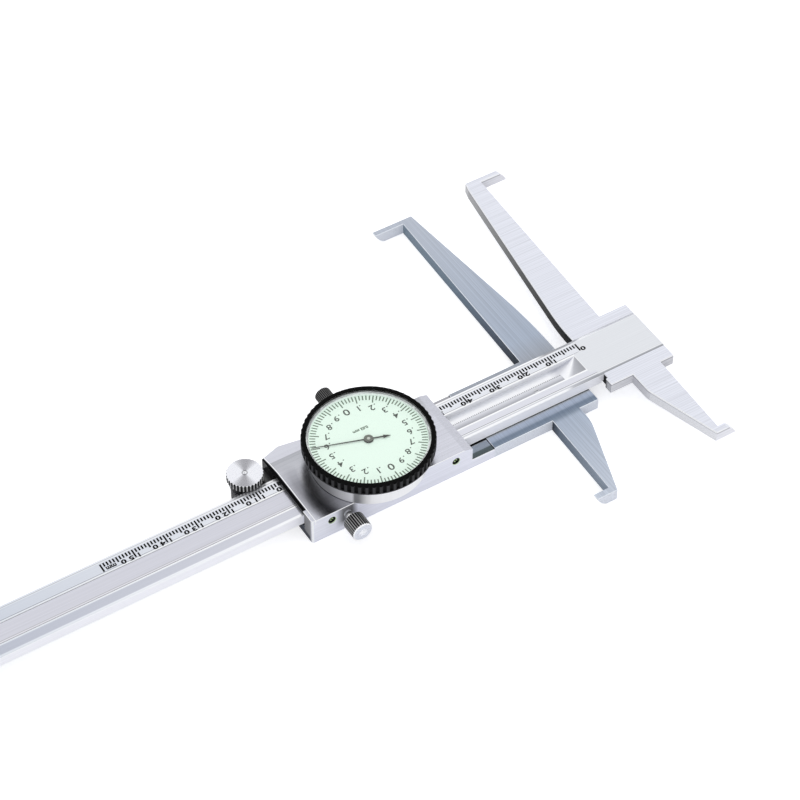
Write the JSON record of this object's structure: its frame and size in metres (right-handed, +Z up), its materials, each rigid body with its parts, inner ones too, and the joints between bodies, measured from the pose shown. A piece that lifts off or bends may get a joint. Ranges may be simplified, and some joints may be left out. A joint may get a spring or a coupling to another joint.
{
  "type": "inside groove dial caliper",
  "caption": "Dial caliper with outward-facing long and short jaws for inside grooves, sliding on a grooved beam with a rack, thumb roller, clamp screw and turning bezel.",
  "frame": {"origin": "on the beam's top face and the groove's centre line, at the scale's zero line", "axes": "+X along the scale from zero to the tail, +Y from the long jaws to the short jaws, +Z up out of the dial"},
  "size_m": [0.2335, 0.1271, 0.0191],
  "materials": {
    "beam_steel": "satin ground stainless steel with a matt scale strip",
    "jaw_steel": "ground along the jaws",
    "slider_steel": "satin ground lengthwise",
    "rack_steel": "milled",
    "strip_steel": "fine brushed sheet",
    "knurled_steel": "knurled rims, turned faces",
    "screw_steel": "plain turned",
    "spring_steel": "blued",
    "plated_metal": "turned and plated",
    "brass": "milled and turned",
    "dial_paint": "matt pale green with printed divisions",
    "ring_plastic": "matt",
    "clear_plastic": "clear polished",
    "black_plastic": "glossy with a scalloped grip",
    "pointer_paint": "matt dark"
  },
  "bodies": {
    "beam": {"beam": "beam_steel", "fixed_jaw": "jaw_steel", "fixed_jaw_screws": "screw_steel", "rack": "rack_steel", "rack_screws": "screw_steel", "beam_end_stop": "slider_steel", "end_stop_screws": "screw_steel"},
    "slider": {"slider_frame": "slider_steel", "moving_jaw": "jaw_steel", "jaw_plate_screws": "screw_steel", "gib_strip": "brass", "gib_screws": "screw_steel", "rack_cover": "strip_steel", "cover_rivets": "screw_steel", "roller_bracket": "slider_steel", "roller_axle": "screw_steel", "bracket_screws": "screw_steel", "dial_housing": "plated_metal", "housing_screws": "screw_steel", "arbor_bushes": "brass", "movement_bridge": "brass", "bridge_pillars": "brass", "bridge_screws": "screw_steel"},
    "clamp_screw": {"clamp_screw": "knurled_steel"},
    "thumb_roller": {"thumb_roller": "knurled_steel"},
    "bezel": {"bezel": "black_plastic", "crystal": "clear_plastic", "spacer_ring": "ring_plastic", "dial_face": "dial_paint"},
    "bezel_lock": {"bezel_lock_screw": "knurled_steel"},
    "drive_train": {"drive_arbor": "screw_steel", "drive_gear": "brass", "backlash_gear": "brass", "backlash_spring": "spring_steel", "gear_collar": "brass"},
    "pointer": {"centre_arbor": "screw_steel", "pointer": "pointer_paint"}
  },
  "joints": [
    {"name": "slider_slide", "type": "slide", "parent": "beam", "child": "slider", "axis": [1, 0, 0], "range_m": [-0.0398, 0.1012]},
    {"name": "clamp_screw_turn", "type": "hinge", "parent": "slider", "child": "clamp_screw", "pos_m": [0.091, 0.0121, -0.0017], "axis": [0, 1, 0], "range_deg": [-30, 180]},
    {"name": "bezel_turn", "type": "hinge", "parent": "slider", "child": "bezel", "pos_m": [0.07655, 0, 0.0095], "axis": [0, 0, 1], "continuous": true},
    {"name": "bezel_lock_turn", "type": "hinge", "parent": "slider", "child": "bezel_lock", "pos_m": [0.07655, -0.0196, 0.0047], "axis": [0, -1, 0], "range_deg": [-30, 180]},
    {"name": "thumb_roller_turn", "type": "hinge", "parent": "slider", "child": "thumb_roller", "pos_m": [0.10985, -0.0134, 0], "axis": [0, 0, 1], "continuous": true},
    {"name": "drive_train_turn", "type": "hinge", "parent": "slider", "child": "drive_train", "pos_m": [0.06853, -0.00134, 0], "axis": [0, 0, 1], "continuous": true},
    {"name": "pointer_turn", "type": "hinge", "parent": "slider", "child": "pointer", "pos_m": [0.07655, 0, 0], "axis": [0, 0, 1], "continuous": true}
  ],
  "couplings": [
    {"joint": "thumb_roller_turn", "follows": "slider_slide", "rad_per_m": 212.77},
    {"joint": "drive_train_turn", "follows": "slider_slide", "rad_per_m": 628.32},
    {"joint": "pointer_turn", "follows": "slider_slide", "rad_per_m": -3141.6}
  ]
}
